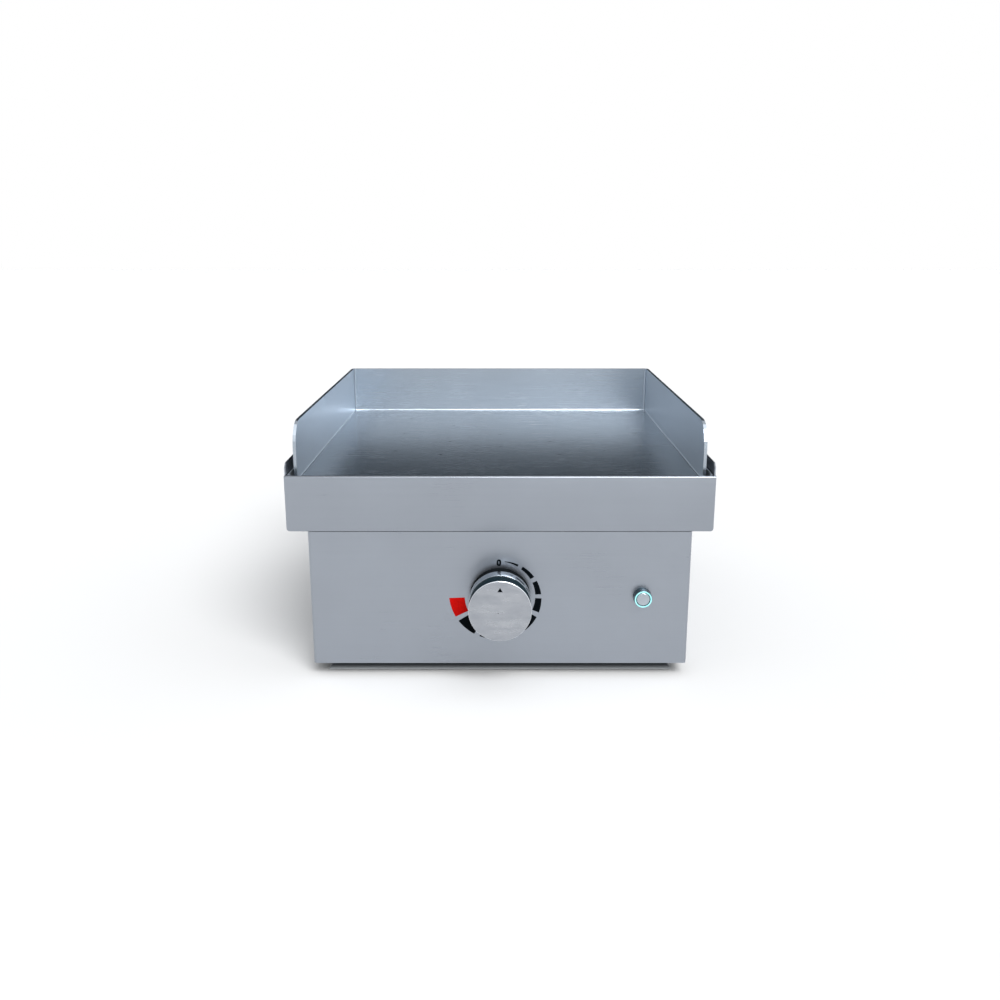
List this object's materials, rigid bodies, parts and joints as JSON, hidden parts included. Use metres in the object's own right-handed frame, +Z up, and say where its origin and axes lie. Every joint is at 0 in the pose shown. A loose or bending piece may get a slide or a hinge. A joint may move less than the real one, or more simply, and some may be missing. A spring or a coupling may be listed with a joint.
{
  "type": "electric griddle",
  "caption": "Countertop electric griddle: stainless plate with three-sided splash guard, pull-out grease tray, control box with thermostat knob and lit push button.",
  "frame": {"origin": "centre of the footprint on the surface it stands on, at the underside of the feet", "axes": "+Z up, -Y towards the user (the side with the knob), +X to the user's right"},
  "size_m": [0.41, 0.4672, 0.2521],
  "materials": {
    "brushed_stainless": "satin stainless sheet with fine horizontal grain",
    "griddle_stainless": "smooth satin stainless cooking plate, lightly spotted",
    "galvanised_sheet": "dull galvanised sheet",
    "spreader_aluminium": "as machined",
    "element_sheath": "heat-tinted nickel alloy sheath",
    "ceramic_insulation": "matte ceramic fibre blanket",
    "zinc_fasteners": "bright zinc plate",
    "black_moulding": "matte moulded plastic",
    "knob_chrome": "bright chrome plate",
    "knob_dark_band": "dark chrome plate",
    "knob_face": "finely brushed, near mirror",
    "button_bezel": "dark chrome plate",
    "button_steel": "satin stainless",
    "button_light": "lit translucent ring",
    "copper_capillary": "drawn copper",
    "brass_pins": "nickel-free brass",
    "terminal_plastic": "matte moulded plastic",
    "foot_rubber": "matte rubber",
    "lead_brown": "silicone sleeving",
    "lead_blue": "silicone sleeving"
  },
  "bodies": {
    "griddle": {"body_shell": "brushed_stainless", "rear_panel": "brushed_stainless", "upper_skirt": "brushed_stainless", "griddle_plate": "griddle_stainless", "base_plinth": "galvanised_sheet", "top_deck": "galvanised_sheet", "heat_shield": "galvanised_sheet", "element_clamp_plate": "galvanised_sheet", "thermostat_bracket": "galvanised_sheet", "tray_runner_left": "galvanised_sheet", "tray_runner_right": "galvanised_sheet", "heat_spreader": "spreader_aluminium", "heating_element": "element_sheath", "insulation_pad": "ceramic_insulation", "plate_bolt_1": "zinc_fasteners", "plate_bolt_2": "zinc_fasteners", "plate_bolt_3": "zinc_fasteners", "plate_bolt_4": "zinc_fasteners", "rear_screw_1": "zinc_fasteners", "rear_screw_2": "zinc_fasteners", "rear_screw_3": "zinc_fasteners", "rear_screw_4": "zinc_fasteners", "inlet_screw_1": "zinc_fasteners", "inlet_screw_2": "zinc_fasteners", "button_nut": "zinc_fasteners", "thermostat_body": "black_moulding", "button_switch_body": "black_moulding", "power_inlet": "black_moulding", "high_limit_cutout": "black_moulding", "button_collar": "button_bezel", "button_light_ring": "button_light", "sensing_bulb": "copper_capillary", "capillary_tube": "copper_capillary", "inlet_pin_live": "brass_pins", "inlet_pin_neutral": "brass_pins", "inlet_pin_earth": "brass_pins", "terminal_block": "terminal_plastic", "foot_front_left": "foot_rubber", "foot_front_right": "foot_rubber", "foot_rear_left": "foot_rubber", "foot_rear_right": "foot_rubber", "wire_inlet_live": "lead_brown", "wire_block_to_switch": "lead_brown", "wire_switch_to_thermostat": "lead_brown", "wire_thermostat_to_element": "lead_brown", "wire_inlet_neutral": "lead_blue", "wire_element_to_block": "lead_blue"},
    "knob": {"thermostat_shaft": "zinc_fasteners", "knob_base_ring": "black_moulding", "knob_skirt_ring": "knob_chrome", "knob_grip_band": "knob_dark_band", "knob_face_cap": "knob_face"},
    "power_button": {"button_cap": "button_steel"},
    "grease_tray": {"tray_front": "brushed_stainless", "tray_pan": "brushed_stainless"}
  },
  "joints": [
    {"name": "knob_turn", "type": "hinge", "parent": "griddle", "child": "knob", "pos_m": [0, -0.20315, 0.084], "axis": [0, 1, 0], "range_deg": [0, 270]},
    {"name": "button_press", "type": "slide", "parent": "griddle", "child": "power_button", "axis": [0, 1, 0], "range_m": [0, 0.0015], "stiffness_N_per_m": 800, "springref_m": -0.001},
    {"name": "tray_slide", "type": "slide", "parent": "griddle", "child": "grease_tray", "axis": [0, -1, 0], "range_m": [0, 0.11]}
  ]
}
